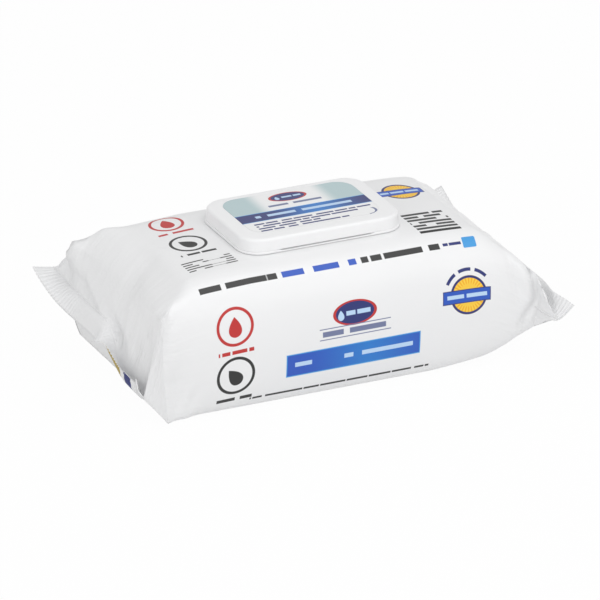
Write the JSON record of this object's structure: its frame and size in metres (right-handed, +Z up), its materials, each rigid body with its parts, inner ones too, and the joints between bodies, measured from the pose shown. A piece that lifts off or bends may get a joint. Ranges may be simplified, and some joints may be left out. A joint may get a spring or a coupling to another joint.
{
  "type": "pack of disinfecting wipes",
  "caption": "Soft film flow pack of folded wet wipes, with crimped end seals and a rigid flip lid over its dispensing opening.",
  "frame": {"origin": "middle of the pack on the surface it lies on", "axes": "+X along the pack towards the end with the level seal, +Y towards the lid's hinge, +Z up through the lid"},
  "size_m": [0.2541, 0.1621, 0.0864],
  "materials": {
    "film": "satin white film",
    "closure": "moulded white, satin",
    "label": "printed film label",
    "seal": "laminated foil film"
  },
  "bodies": {
    "pack": {"film_pouch": "film", "peel_seal": "seal", "closure_frame": "closure"},
    "lid": {"lid": "closure", "lid_label": "label"}
  },
  "joints": [
    {"name": "lid_hinge", "type": "hinge", "parent": "pack", "child": "lid", "pos_m": [0, 0.03305, 0.07915], "axis": [-1, 0, 0], "range_deg": [0, 110]}
  ]
}
